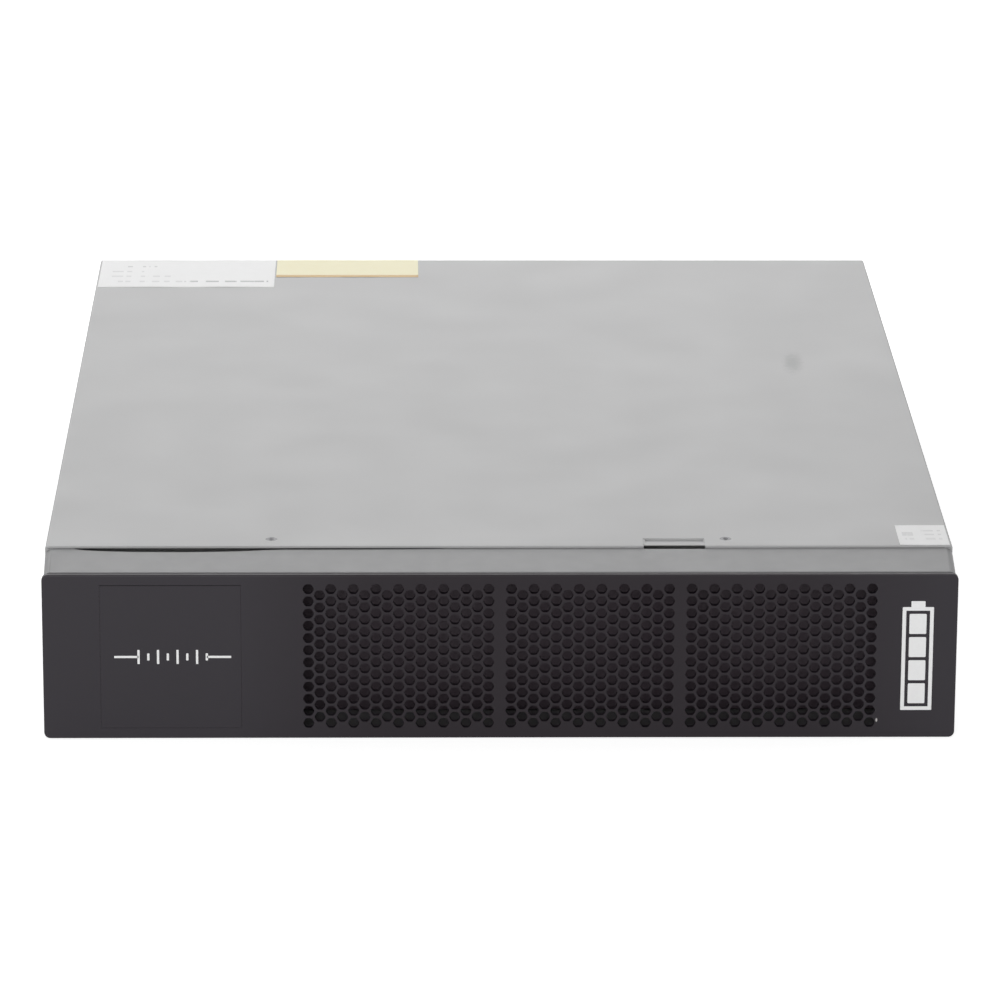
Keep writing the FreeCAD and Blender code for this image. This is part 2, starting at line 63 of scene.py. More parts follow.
edgeAngle = math.radians(35)  # a sharper edge is softened, and stays an edge in the shading
print("frame loaded:", len(frame["nodes"]), "nodes")


# Small modelling helpers

def activate(obj):
    bpy.ops.object.select_all(action="DESELECT")
    obj.select_set(True)
    bpy.context.view_layer.objects.active = obj


def settle(name):
    # names the new primitive and puts its place into its mesh
    obj = bpy.context.object
    obj.name = name
    obj.data.name = name
    bpy.ops.object.transform_apply(location=True, rotation=True, scale=True)
    return obj


def addBlock(name, low, high):
    low = Vector(low)
    high = Vector(high)
    bpy.ops.object.select_all(action="DESELECT")
    bpy.ops.mesh.primitive_cube_add(size=1, location=(low + high) / 2, scale=high - low)
    return settle(name)


def edit(obj):
    activate(obj)
    bpy.ops.object.mode_set(mode="EDIT")


def leaveEdit():
    bpy.ops.object.mode_set(mode="OBJECT")


def pick(obj, kind, test):
    # selects the vertices, edges or faces that pass the test
    bpy.ops.mesh.select_mode(type=kind)
    bpy.ops.mesh.select_all(action="DESELECT")
    mesh = bmesh.from_edit_mesh(obj.data)
    items = {"VERT": mesh.verts, "EDGE": mesh.edges, "FACE": mesh.faces}[kind]
    for item in items:
        if test(item):
            item.select_set(True)
    mesh.select_flush_mode()
    bmesh.update_edit_mesh(obj.data)


def looking(direction):
    # a test for faces that look along a direction, within about 25 degrees
    return lambda face: face.normal.dot(Vector(direction)) > 0.9


def alongY(edge):
    # a test for edges that run from front to rear
    start, end = (vertex.co for vertex in edge.verts)
    return abs(start.y - end.y) > abs(start.x - end.x) + abs(start.z - end.z)


def applyModifier(obj, kind, **settings):
    activate(obj)
    modifier = obj.modifiers.new(kind.lower(), kind)
    for key, value in settings.items():
        setattr(modifier, key, value)
    bpy.ops.object.modifier_apply(modifier=modifier.name)


def carve(obj, tool, operation="DIFFERENCE"):
    applyModifier(obj, "BOOLEAN", object=tool, operation=operation, solver="EXACT")
    bpy.data.objects.remove(tool)


def joinAll(name, pieces):
    bpy.ops.object.select_all(action="DESELECT")
    for piece in pieces:
        piece.select_set(True)
    bpy.context.view_layer.objects.active = pieces[0]
    bpy.ops.object.join()
    joined = bpy.context.object
    joined.name = name
    joined.data.name = name
    return joined


def copyTo(obj, name, matrix):
    # a copy with its own mesh, moved in the mesh
    copy = bpy.data.objects.new(name, obj.data.copy())
    copy.data.name = name
    copy.data.transform(matrix)
    bpy.context.scene.collection.objects.link(copy)
    return copy


def smooth(obj):
    activate(obj)
    bpy.ops.object.shade_smooth_by_angle(angle=edgeAngle)
    applyModifier(obj, "WEIGHTED_NORMAL", keep_sharp=True)


def dress(obj, finish):
    obj.data.materials.clear()
    obj.data.materials.append(finish)
    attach(obj, "root")


# Small material helpers. All patterns read Object coordinates, in metres.

def newFinish(name, colour, roughness, metallic=0.0):
    finish = bpy.data.materials.new(name)
    finish.use_nodes = True
    shader = shaderOf(finish)
    shader.inputs["Base Color"].default_value = (*colour, 1)
    shader.inputs["Roughness"].default_value = roughness
    shader.inputs["Metallic"].default_value = metallic
    return finish


def addNode(finish, kind, **settings):
    made = finish.node_tree.nodes.new("ShaderNode" + kind)
    for key, value in settings.items():
        setattr(made, key, value)
    return made


def link(finish, source, target):
    finish.node_tree.links.new(source, target)


def shaderOf(finish):
    return finish.node_tree.nodes["Principled BSDF"]


def coords(finish, stretch=(1, 1, 1)):
    place = addNode(finish, "TexCoord")
    if stretch == (1, 1, 1):
        return place.outputs["Object"]
    mapping = addNode(finish, "Mapping")
    mapping.inputs["Scale"].default_value = stretch
    link(finish, place.outputs["Object"], mapping.inputs["Vector"])
    return mapping.outputs["Vector"]


def splitXyz(finish):
    made = addNode(finish, "SeparateXYZ")
    link(finish, coords(finish), made.inputs["Vector"])
    return made.outputs


def noise(finish, scale, detail, stretch=(1, 1, 1)):
    made = addNode(finish, "TexNoise")
    made.inputs["Scale"].default_value = scale
    made.inputs["Detail"].default_value = detail
    link(finish, coords(finish, stretch), made.inputs["Vector"])
    return made.outputs["Fac"]


def spread(finish, value, low, high, fromLow=0.3, fromHigh=0.7, **settings):
    # remaps a pattern to a range of numbers
    made = addNode(finish, "MapRange", **settings)
    made.inputs["From Min"].default_value = fromLow
    made.inputs["From Max"].default_value = fromHigh
    made.inputs["To Min"].default_value = low
    made.inputs["To Max"].default_value = high
    link(finish, value, made.inputs["Value"])
    return made.outputs["Result"]


def mixColours(finish, value, first, second):
    made = addNode(finish, "Mix", data_type="RGBA")
    link(finish, value, made.inputs["Factor"])
    # 6, 7 and 2 are the node's colour sockets
    for socket, colour in ((made.inputs[6], first), (made.inputs[7], second)):
        if isinstance(colour, tuple):
            socket.default_value = (*colour, 1)
        else:
            link(finish, colour, socket)
    return made.outputs[2]


def calculate(finish, operation, first, second=None):
    made = addNode(finish, "Math", operation=operation)
    for socket, value in zip(made.inputs, (first, second)):
        if value is None:
            continue
        if isinstance(value, (int, float)):
            socket.default_value = value
        else:
            link(finish, value, socket)
    return made.outputs["Value"]


def addBump(finish, height, strength, distance, under=None):
    made = addNode(finish, "Bump")
    made.inputs["Strength"].default_value = strength
    made.inputs["Distance"].default_value = distance
    link(finish, height, made.inputs["Height"])
    if under is not None:
        link(finish, under, made.inputs["Normal"])
    link(finish, made.outputs["Normal"], shaderOf(finish).inputs["Normal"])
    return made.outputs["Normal"]


def tint(finish, pattern, first, second):
    # the colour goes from the first to the second with the pattern
    link(finish, mixColours(finish, pattern, first, second), shaderOf(finish).inputs["Base Color"])


def colourSoFar(finish):
    # what the shader has now, for a mark that goes over it
    return shaderOf(finish).inputs["Base Color"].links[0].from_socket


def roughen(finish, pattern, low, high):
    # the gloss wanders with the pattern
    link(finish, spread(finish, pattern, low, high), shaderOf(finish).inputs["Roughness"])


def awayFrom(finish, middle, half, turn=0.0):
    # 0 at the middle of an ellipse and 1 on its rim; a half of 0 leaves that axis out
    around = addNode(finish, "Mapping", vector_type="TEXTURE")
    around.inputs["Location"].default_value = middle
    around.inputs["Rotation"].default_value = (0, 0, math.radians(turn))
    around.inputs["Scale"].default_value = half
    link(finish, coords(finish), around.inputs["Vector"])
    away = addNode(finish, "VectorMath", operation="LENGTH")
    link(finish, around.outputs["Vector"], away.inputs[0])
    return away.outputs["Value"]


# Finishes

paint = {
    "grey": (0.44, 0.44, 0.442),
    "greyDeep": (0.433, 0.433, 0.436),
    "spot": (0.20, 0.20, 0.202),
    "spotAt": (163.6 * mm, 70.6 * mm, 0),
    "spotHalf": (7.0 * mm, 27.0 * mm, 1),  # a whole metre upwards, so height hardly counts
    "spotTurn": -3.1,
    "spotRagged": 0.15,
    "spotCore": 0.15,
    "spotStrength": 0.48,
}


def powderCoat(name, light, dark, roughLow=0.46, roughHigh=0.52):
    # fine orange peel of a baked powder coat, with faint handling marks in the gloss
    finish = newFinish(name, light, roughLow)
    tint(finish, noise(finish, scale=7, detail=3), light, dark)
    roughen(finish, noise(finish, scale=22, detail=5), roughLow, roughHigh)
    peel = addBump(finish, noise(finish, scale=900, detail=2), strength=0.10, distance=0.3 * mm)
    addBump(finish, noise(finish, scale=2600, detail=2), strength=0.06, distance=0.12 * mm, under=peel)
    return finish


def coverPaint():
    # the cover carries one soft grey spot, drawn out along the sheet
    finish = powderCoat("coverPaint", paint["grey"], paint["greyDeep"])
    clean = colourSoFar(finish)
    away = awayFrom(finish, paint["spotAt"], paint["spotHalf"], paint["spotTurn"])
    ragged = spread(finish, noise(finish, scale=300, detail=4), -paint["spotRagged"], paint["spotRagged"])
    reach = calculate(finish, "ADD", away, ragged)
    spot = spread(finish, reach, paint["spotStrength"], 0, fromLow=paint["spotCore"], fromHigh=1,
                  interpolation_type="SMOOTHSTEP")
    tint(finish, spot, clean, paint["spot"])
    return finish


mouldGrain = {
    "glossSwing": 0.03,
    "coarseDeep": 0.15 * mm,
    "fineDeep": 0.06 * mm,
    "finer": 3,  # the fine grain beside the coarse one
    "fainter": 0.6,
}


def moulding(name, light, dark, roughness, grain=1500, depth=0.16):
    # moulded plastic with a fine eroded grain
    finish = newFinish(name, light, roughness)
    tint(finish, noise(finish, scale=9, detail=3), light, dark)
    swing = mouldGrain["glossSwing"]
    roughen(finish, noise(finish, scale=140, detail=4), roughness - swing, roughness + swing)
    coarse = noise(finish, scale=grain, detail=3)
    fine = noise(finish, scale=grain * mouldGrain["finer"], detail=1)
    rough = addBump(finish, coarse, strength=depth, distance=mouldGrain["coarseDeep"])
    addBump(finish, fine, strength=depth * mouldGrain["fainter"],
            distance=mouldGrain["fineDeep"], under=rough)
    return finish


panelTone = {
    "light": (0.0270, 0.0234, 0.0292),
    "dark": (0.0254, 0.0220, 0.0276),
    # painted shade: the darker colour that stands for the light falling off round the vents
    "vents": (0.0116, 0.0076, 0.0112),
    "ventsMiddle": 42.0 * mm,
    "ventsReach": (105.0 * mm, 170.0 * mm),
    "chip": (0.55, 0.53, 0.52),
    "chipAt": (181.2 * mm, 0, 9.0 * mm),
    "chipHalf": (0.55 * mm, 0, 1.1 * mm),
    "chipCore": 0.6,
    "roughness": 0.4,
    "specular": 0.25,
}


def panelPlastic():
    # satin black with a violet cast, with painted shade darkening it round the vents, and one small pale
    # speck beside their last column
    finish = moulding("panelMoulding", panelTone["light"], panelTone["dark"], panelTone["roughness"])
    shaderOf(finish).inputs["Specular IOR Level"].default_value = panelTone["specular"]
    plain = colourSoFar(finish)
    # painted shade: the colour darkens towards the middle of the vents, for the light that falls off
    # there
    aside = calculate(finish, "SUBTRACT", splitXyz(finish)["X"], panelTone["ventsMiddle"])
    deep = spread(finish, calculate(finish, "ABSOLUTE", aside), 1, 0, *panelTone["ventsReach"])
    plainWithPaintedShade = mixColours(finish, deep, plain, panelTone["vents"])
    # a small pale speck beside the last column of vents
    away = awayFrom(finish, panelTone["chipAt"], panelTone["chipHalf"])
    paleSpeck = spread(finish, away, 1, 0, fromLow=panelTone["chipCore"], fromHigh=1)
    tint(finish, paleSpeck, plainWithPaintedShade, panelTone["chip"])
    return finish


pieceTones = {
    "zinc": (0.58, 0.59, 0.60),
    "zincBright": (0.68, 0.69, 0.69),
    "zincSpangle": 160,
    "copper": (0.82, 0.47, 0.31),
    "copperFilm": (0.52, 0.27, 0.17),
    "sheet": (0.76, 0.76, 0.73),
    "sheetDeep": (0.70, 0.70, 0.67),
    "screw": (0.17, 0.17, 0.175),
    "screwDeep": (0.13, 0.13, 0.135),
}


def zinc():
    # rolled, zinc-plated sheet: soft spangle and rolling lines
    finish = newFinish("zinc", pieceTones["zinc"], roughness=0.38, metallic=1.0)
    cells = addNode(finish, "TexVoronoi")
    cells.inputs["Scale"].default_value = pieceTones["zincSpangle"]
    link(finish, coords(finish), cells.inputs["Vector"])
    tint(finish, cells.outputs["Color"], pieceTones["zinc"], pieceTones["zincBright"])
    roughen(finish, noise(finish, scale=40, detail=2, stretch=(1, 30, 30)), low=0.30, high=0.46)
    rolled = noise(finish, scale=300, detail=3, stretch=(1, 8, 8))
    addBump(finish, rolled, strength=0.05, distance=0.1 * mm)
    return finish


def copperMetal():
    # bare bar with a dull brown film in patches
    finish = newFinish("copperMetal", pieceTones["copper"], roughness=0.32, metallic=1.0)
    film = spread(finish, noise(finish, scale=70, detail=5), 0, 1, fromLow=0.45)
    tint(finish, film, pieceTones["copper"], pieceTones["copperFilm"])
    roughen(finish, noise(finish, scale=240, detail=3, stretch=(1, 6, 6)), low=0.24, high=0.46)
    drawn = noise(finish, scale=500, detail=2, stretch=(1, 10, 10))
    addBump(finish, drawn, strength=0.06, distance=0.05 * mm)
    return finish


def insulation():
    # milky sheet with slow waves
    finish = newFinish("insulation", pieceTones["sheet"], roughness=0.42)
    tint(finish, noise(finish, scale=14, detail=3), pieceTones["sheet"], pieceTones["sheetDeep"])
    roughen(finish, noise(finish, scale=90, detail=3), low=0.36, high=0.5)
    addBump(finish, noise(finish, scale=20, detail=2), strength=0.12, distance=2 * mm)
    return finish


def sleeve(name, light, dark):
    # soft wire sleeve with drawing lines along it
    finish = newFinish(name, light, roughness=0.44)
    tint(finish, noise(finish, scale=120, detail=3), light, dark)
    roughen(finish, noise(finish, scale=300, detail=3, stretch=(1, 0.1, 1)), low=0.36, high=0.54)
    drawn = noise(finish, scale=1200, detail=2, stretch=(1, 0.05, 1))
    addBump(finish, drawn, strength=0.1, distance=0.1 * mm)
    return finish


def screwMetal():
    # dark plated screw with turning marks
    finish = newFinish("screwMetal", pieceTones["screw"], roughness=0.42, metallic=1.0)
    tint(finish, noise(finish, scale=500, detail=4), pieceTones["screw"], pieceTones["screwDeep"])
    roughen(finish, noise(finish, scale=1800, detail=3), low=0.40, high=0.55)
    addBump(finish, noise(finish, scale=2500, detail=2), strength=0.08, distance=0.05 * mm)
    return finish


finishes = {
    "grey_paint": powderCoat("casePaint", paint["grey"], paint["greyDeep"]),
    "cover": coverPaint(),
    "black_paint": powderCoat("doorPaint", (0.031, 0.017, 0.027), (0.033, 0.019, 0.029),
                              roughLow=0.5, roughHigh=0.62),
    "grey_moulding": moulding("frameMoulding", (0.218, 0.218, 0.222), (0.212, 0.212, 0.216),
                              roughness=0.46),
    "black_panel": panelPlastic(),
    "dark_plastic": moulding("socketMoulding", (0.030, 0.030, 0.032), (0.042, 0.042, 0.044),
                             roughness=0.48, grain=900),
    "battery_case": moulding("batteryCase", (0.075, 0.077, 0.082), (0.060, 0.062, 0.066),
                             roughness=0.42, grain=700, depth=0.12),
    "fuse_body": moulding("fuseBody", (0.72, 0.70, 0.63), (0.64, 0.61, 0.54),
                          roughness=0.5, grain=800),
    "insulating_film": insulation(),
    "zinc_steel": zinc(),
    "copper": copperMetal(),
    "red_sleeve": sleeve("redSleeve", (0.42, 0.02, 0.02), (0.32, 0.012, 0.012)),
    "black_sleeve": sleeve("blackSleeve", (0.025, 0.025, 0.026), (0.035, 0.035, 0.036)),
    "screw": screwMetal(),
}
print("finishes made:", len(finishes))


# Soft-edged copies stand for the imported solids: same form, with the edges of real sheet and moulding

edgeWidths = {
    "front_frame": 0.35 * mm,
    "chassis_tray": 0.25 * mm,
    "top_cover": 0.22 * mm,
    "rear_panel": 0.2 * mm,
    "display_blank": 0.06 * mm,
    "dc_socket": 0.4 * mm,
    "battery_inner": 1.2 * mm,
    "battery_outer": 1.2 * mm,
    "others": 0.2 * mm,
}
copySet = {
    "weld": 0.002 * mm,
    "flatAngle": math.radians(0.3),
    "segments": 2,
}
slotOf = {row["node"]: row["material_slot"] for row in frame["record"]["subparts"]}


def edgeWidth(node):
    for start, width in edgeWidths.items():
        if node.startswith(start):
            return width
    return edgeWidths["others"]


def pieceName(node):
    first, *rest = node.split("_")
    return first + "".join(word.capitalize() for word in rest)


def cleanCopy(node):
    # the copy's loose triangles are merged and its flat faces made whole
    copy = copyTo(frame["nodes"][node], pieceName(node), Matrix.Identity(4))
    edit(copy)
    bpy.ops.mesh.select_all(action="SELECT")
    bpy.ops.mesh.remove_doubles(threshold=copySet["weld"])
    bpy.ops.mesh.dissolve_limited(angle_limit=copySet["flatAngle"])
    leaveEdit()
    return copy


def softenEdges(obj, width):
    applyModifier(obj, "BEVEL", width=width, segments=copySet["segments"], limit_method="ANGLE",
                  angle_limit=edgeAngle, use_clamp_overlap=False)
    smooth(obj)


def standFor(obj, node, finish=None):
    dress(obj, finish or finishes[slotOf[node]])
    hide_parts(node)


# Screws: one countersunk and one raised head are modelled, and copied to their places

screwSet = {
    "headRadius": 2.9 * mm,
    "rim": 0.25 * mm,
    "coneDeep": 1.3 * mm,
    "shankRadius": 1.45 * mm,
    "shankLong": 3.0 * mm,
    "recessLong": (2.8 * mm, 4.8 * mm),
    "recessWide": 1.3 * mm,
    "recessDeep": 1.7 * mm,
    "recessAbove": 0.5 * mm,
    "recessTaper": (0.6, 0.8, 1),
    "panHigh": 1.7 * mm,
    "panRound": 0.9 * mm,
    "panSeat": 0.01 * mm,
    "edge": 0.1 * mm,
    "sides": 40,
    "sink": 0.06 * mm,
    "dimpleRoom": 0.06 * mm,
    "dimpleAbove": 0.4 * mm,
    "coverX": (-110.2 * mm, 109.8 * mm),
    "coverY": -245.2 * mm,
    "lipY": (-205.0 * mm, 10.0 * mm, 225.0 * mm),
    "lipZ": 78.0 * mm,
    "rearY": 266.5 * mm,
    "rearZ": (20.0 * mm, 56.0 * mm),
    "socketOffset": 29.5 * mm,
    "socketFlange": 2.5 * mm,
}


def crossRecess(top):
    # a long and a short blade, crossed and narrowing downwards
    wide = screwSet["recessWide"] / 2
    blades = []
    for turn, long in zip((0, 90), screwSet["recessLong"]):
        low = (-long / 2, -wide, top - screwSet["recessDeep"])
        blade = addBlock("blade", low, (long / 2, wide, top + screwSet["recessAbove"]))
        edit(blade)
        pick(blade, "FACE", looking((0, 0, -1)))
        bpy.ops.transform.resize(value=screwSet["recessTaper"], center_override=(0, 0, top))
        leaveEdit()
        blade.data.transform(Matrix.Rotation(math.radians(turn), 4, "Z"))
        blades.append(blade)
    carve(blades[0], blades[1], "UNION")
    return blades[0]


def shankBelow(screw, drop):
    # the head narrows to the shank over the drop
    edit(screw)
    pick(screw, "FACE", looking((0, 0, -1)))
    bpy.ops.mesh.extrude_region_move(TRANSFORM_OT_translate={"value": (0, 0, -drop)})
    share = screwSet["shankRadius"] / screwSet["headRadius"]
    bpy.ops.transform.resize(value=(share, share, 1), center_override=(0, 0, 0))
    bpy.ops.mesh.extrude_region_move(TRANSFORM_OT_translate={"value": (0, 0, -screwSet["shankLong"])})
    leaveEdit()


def countersunkScrew():
    # the flat of the head lies at z 0, and the shank points down
    rim = screwSet["rim"]
    bpy.ops.object.select_all(action="DESELECT")
    bpy.ops.mesh.primitive_cylinder_add(vertices=screwSet["sides"], radius=screwSet["headRadius"],
                                        depth=rim, location=(0, 0, -rim / 2))
    screw = settle("countersunk")
    shankBelow(screw, screwSet["coneDeep"] - rim)
    softenEdges(screw, screwSet["edge"])
    carve(screw, crossRecess(0))
    smooth(screw)
    return screw


def panScrew():
    # raised head with a rounded rim, seated at z 0
    high = screwSet["panHigh"]
    bpy.ops.object.select_all(action="DESELECT")
    bpy.ops.mesh.primitive_cylinder_add(vertices=screwSet["sides"], radius=screwSet["headRadius"],
                                        depth=high, location=(0, 0, high / 2))
    screw = settle("pan")
    edit(screw)
    pick(screw, "EDGE", lambda edge: min(vertex.co.z for vertex in edge.verts) > high / 2)
    bpy.ops.mesh.bevel(offset=screwSet["panRound"], segments=5, affect="EDGES")
    leaveEdit()
    shankBelow(screw, screwSet["panSeat"])
    carve(screw, crossRecess(high))
    smooth(screw)
    return screw


def facing(place, direction):
    # moves a screw so that its head looks along a direction
    turn = Vector(direction).to_track_quat("Z", "Y").to_matrix().to_4x4()
    return Matrix.Translation(place) @ turn


def flushPlaces():
    # heads that lie flush in the cover, on its top and on its side lips
    low, high = cadBounds
    sink = screwSet["sink"]
    places = []
    for x in screwSet["coverX"]:
        places.append(("coverScrew", (x, screwSet["coverY"], high[2] - sink), (0, 0, 1)))
    for side, edge in ((-1, low[0]), (1, high[0])):
        for y in screwSet["lipY"]:
            places.append(("lipScrew", (edge - side * sink, y, screwSet["lipZ"]), (side, 0, 0)))
    return places


def sidePlaces():
    # heads at the rear end of the chassis sides
    low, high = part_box("chassis_tray")
    sink = screwSet["sink"]
    places = []
    for side, edge in ((-1, low[0]), (1, high[0])):
        for z in screwSet["rearZ"]:
            places.append(("rearScrew", (edge - side * sink, screwSet["rearY"], z), (side, 0, 0)))
    return places


def socketPlaces():
    # raised heads on the flanges of the sockets
    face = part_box("rear_panel")[1].y + screwSet["socketFlange"]
    places = []
    for node in ("dc_socket_left", "dc_socket_right"):
        low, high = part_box(node)
        middle = (low + high) / 2
        for side in (-1, 1):
            x = middle.x + side * screwSet["socketOffset"]
            places.append(("socketScrew", (x, face, middle.z), (0, 1, 0)))
    return places


def dimple(place, direction):
    # cone that sinks a flush head into its sheet
    room = screwSet["dimpleRoom"]
    reach = screwSet["coneDeep"]
    bottom = screwSet["shankRadius"] + room
    top = screwSet["headRadius"] + room
    bpy.ops.object.select_all(action="DESELECT")
    bpy.ops.mesh.primitive_cone_add(vertices=screwSet["sides"], radius1=bottom, radius2=top,
                                    depth=reach, location=(0, 0, -reach / 2))
    tool = settle("dimple")
    edit(tool)
    for way, long in ((1, screwSet["dimpleAbove"]), (-1, past)):
        pick(tool, "FACE", looking((0, 0, way)))
        bpy.ops.mesh.extrude_region_move(TRANSFORM_OT_translate={"value": (0, 0, way * long)})
    leaveEdit()
    tool.data.transform(facing(place, direction))
    return tool


def setScrews(model, places):
    for number, (name, place, direction) in enumerate(places, 1):
        screw = copyTo(model, "%s%d" % (name, number), facing(place, direction))
        dress(screw, finishes["screw"])


def dimpled(obj, places):
    for _, place, direction in places:
        carve(obj, dimple(place, direction))
    smooth(obj)


def makeScrews():
    flat = countersunkScrew()
    raised = panScrew()
    setScrews(flat, flushPlaces() + sidePlaces())
    setScrews(raised, socketPlaces())
    bpy.data.objects.remove(flat)
    bpy.data.objects.remove(raised)


makeScrews()
print("screws set")


# Case, frame and inner pieces

jointSet = {
    "tongueSides": (69.7 * mm, 99.3 * mm),
    "sideHalf": 0.3 * mm,
    "tongueLong": 9.5 * mm,
    "tongueDrop": 0.41 * mm,
    "tongueThick": 0.48 * mm,
    "tongueShort": 2.4 * mm,
    "rampX": (70.6 * mm, 98.9 * mm),
    "rampLong": 7.0 * mm,
    "rampDeep": 0.85 * mm,
    "backing": 0.45 * mm,
    "backingAside": 0.2 * mm,
    "backingLap": 0.3 * mm,
    "notchDeep": 1.0 * mm,
    "notchHigh": 1.0 * mm,
    "seatX": ((-215.0 * mm, -206.5 * mm), (-26.0 * mm, 215.0 * mm)),
    "seatBehind": 0.6 * mm,
    "seatHigh": 1.4 * mm,
    "seatRise": 0.33 * mm,
    "sheet": 1.2 * mm,
    # middle, half and depth of each sweep
    "sweeps": ((-156.5 * mm, 48.0 * mm, 4.6 * mm), (-100.0 * mm, 76.0 * mm, 1.45 * mm)),
    "sweepFoot": 5.0 * mm,
    "sweepSides": 96,
    "doorZ": (37.0 * mm, 49.0 * mm),
    "doorHalf": 190.0 * mm,
    "hair": 0.01 * mm,
}


def closeTongue(cover):
    # the paint bridges the cuts beside the tongue
    low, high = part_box("top_cover")
    start = low.y + jointSet["tongueShort"] + jointSet["hair"]
    top = high.z - jointSet["tongueDrop"]
    half = jointSet["sideHalf"]
    for x in jointSet["tongueSides"]:
        carve(cover, addBlock("bridge", (x - half, start, top - jointSet["tongueThick"]),
                              (x + half, start + jointSet["tongueLong"], top)), "UNION")
    # it is pressed down at its root and rises to its free edge
    left, right = jointSet["rampX"]
    root = start + jointSet["tongueLong"]
    front = root - jointSet["rampLong"]
    foot = top - jointSet["rampDeep"]
    aside = jointSet["backingAside"]
    lap = jointSet["backingLap"]
    carve(cover, addBlock("backing", (left - aside, front, foot - jointSet["backing"]),
                          (right + aside, root + lap, top - lap)), "UNION")
    ramp = addBlock("ramp", (left, front, foot), (right, root, high.z + past))
    edit(ramp)
    pick(ramp, "VERT", lambda corner: corner.co.z < top and corner.co.y < (front + root) / 2)
    bpy.ops.transform.translate(value=(0, 0, jointSet["rampDeep"]))
    leaveEdit()
    carve(cover, ramp)


def openSweep(rim):
    # the rim stands off the cover in a long sweep, and in a shallow one that runs out to the right
    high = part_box("front_frame")[1]
    foot = high.z - jointSet["sweepFoot"]
    top = high.z + past
    for middle, half, deep in jointSet["sweeps"]:
        bpy.ops.object.select_all(action="DESELECT")
        bpy.ops.mesh.primitive_cylinder_add(vertices=jointSet["sweepSides"], radius=1, depth=top - foot,
                                            location=(middle, high.y, (foot + top) / 2),
                                            scale=(half, deep, 1))
        carve(rim, settle("sweep"))


def closeSeat(rim):
    # outside the sweeps the rim meets the cover's edge, and it closes up towards the right
    low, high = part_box("top_cover")
    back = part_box("front_frame")[1].y
    end = low.y - jointSet["hair"]
    top = high.z - jointSet["sheet"] - jointSet["hair"]
    foot = top - jointSet["seatHigh"]
    upper = (foot + top) / 2
    for left, right in jointSet["seatX"]:
        seat = addBlock("seat", (left, back - jointSet["seatBehind"], foot), (right, end, top))
        edit(seat)
        pick(seat, "VERT", lambda corner: corner.co.x > 0 and corner.co.y > back and corner.co.z > upper)
        bpy.ops.transform.translate(value=(0, 0, jointSet["seatRise"]))
        leaveEdit()
        carve(rim, seat, "UNION")
    # finger room below the tongue
    left, right = jointSet["tongueSides"]
    carve(rim, addBlock("notch", (left, back - jointSet["notchDeep"], top - jointSet["notchHigh"]),
                        (right, low.y + past, top + past)))


def closeDoor(door):
    # plain plate where the vents of the panel look onto it
    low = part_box("battery_door")[0]
    bottom, top = jointSet["doorZ"]
    half = jointSet["doorHalf"]
    face = low.y - 2 * jointSet["hair"]
    carve(door, addBlock("plain", (-half, face, bottom), (half, low.y + jointSet["sheet"], top)), "UNION")
    smooth(door)


def makeCopies():
    for node in frame["nodes"]:
        if node == "front_panel":
            continue
        piece = cleanCopy(node)
        softenEdges(piece, edgeWidth(node))
        if node == "battery_door":
            closeDoor(piece)
        if node == "front_frame":
            openSweep(piece)
            closeSeat(piece)
            smooth(piece)
        if node == "top_cover":
            closeTongue(piece)
            dimpled(piece, flushPlaces())
        if node == "chassis_tray":
            dimpled(piece, sidePlaces())
        standFor(piece, node, finishes["cover"] if node == "top_cover" else None)


makeCopies()
print("case and inner pieces made")


# Front panel with its true lattice of vents

panelSet = {
    "thick": 3.0 * mm,
    "corner": 3.0 * mm,
    "cornerSteps": 8,
    "edgeRound": 0.8 * mm,
    "edgeSteps": 4,
    "faceBack": 0.05 * mm,  # room for the printed marks
    "pocketGap": 0.05 * mm,
    "pocketTopGap": 0.3 * mm,
    "firstColumn": -91.85 * mm,
    "columnPitch": 5.393 * mm,
    "topRow": 75.36 * mm,
    "rowPitch": 6.14 * mm,
    "rows": 12,
    "fields": (17, 15, 17),
    "holeAcross": 4.85 * mm,
    "holeCorner": 0.7 * mm,
    "mouth": 0.12 * mm,
    "mouthPast": 0.2 * mm,
    "tabX": (-208.0 * mm, -104.0 * mm, 195.0 * mm),
    "tabHalf": 7.0 * mm,
    "tabZ": (3.6 * mm, 79.3 * mm),
    "tabThick": 1.0 * mm,
    "tabSunk": 0.2 * mm,
    "tabRound": 0.3 * mm,
}


def panelPlate(low, high):
    # plate with round corners and a softened front edge
    back = low.y + panelSet["thick"]
    front = low.y + panelSet["faceBack"]
    plate = addBlock("frontPanel", (low.x, front, low.z), (high.x, back, high.z))
    edit(plate)
    pick(plate, "EDGE", alongY)
    bpy.ops.mesh.bevel(offset=panelSet["corner"], segments=panelSet["cornerSteps"], affect="EDGES")
    pick(plate, "EDGE", lambda edge: max(vertex.co.y for vertex in edge.verts) < (front + back) / 2)
    bpy.ops.mesh.bevel(offset=panelSet["edgeRound"], segments=panelSet["edgeSteps"], affect="EDGES")
    leaveEdit()
    return plate


def addPocket(plate):
    # place for the blank, with a wider joint along its top
    low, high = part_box("display_blank")
    gap = panelSet["pocketGap"]
    top = high.z + panelSet["pocketTopGap"]
    carve(plate, addBlock("pocket", (low.x - gap, low.y - past, low.z - gap),
                          (high.x + gap, high.y, top)))


def addTabs(plate, low, high):
    # thin tabs that reach back into the frame
    start = low.y + panelSet["thick"] - panelSet["tabSunk"]
    middle = (start + high.y) / 2
    half = panelSet["tabHalf"]
    for x in panelSet["tabX"]:
        for z in panelSet["tabZ"]:
            tab = addBlock("tab", (x - half, start, z), (x + half, high.y, z + panelSet["tabThick"]))
            edit(tab)
            pick(tab, "EDGE", lambda edge: min(vertex.co.y for vertex in edge.verts) > middle)
            bpy.ops.mesh.bevel(offset=panelSet["tabRound"], segments=2, affect="EDGES")
            leaveEdit()
            carve(plate, tab, "UNION")


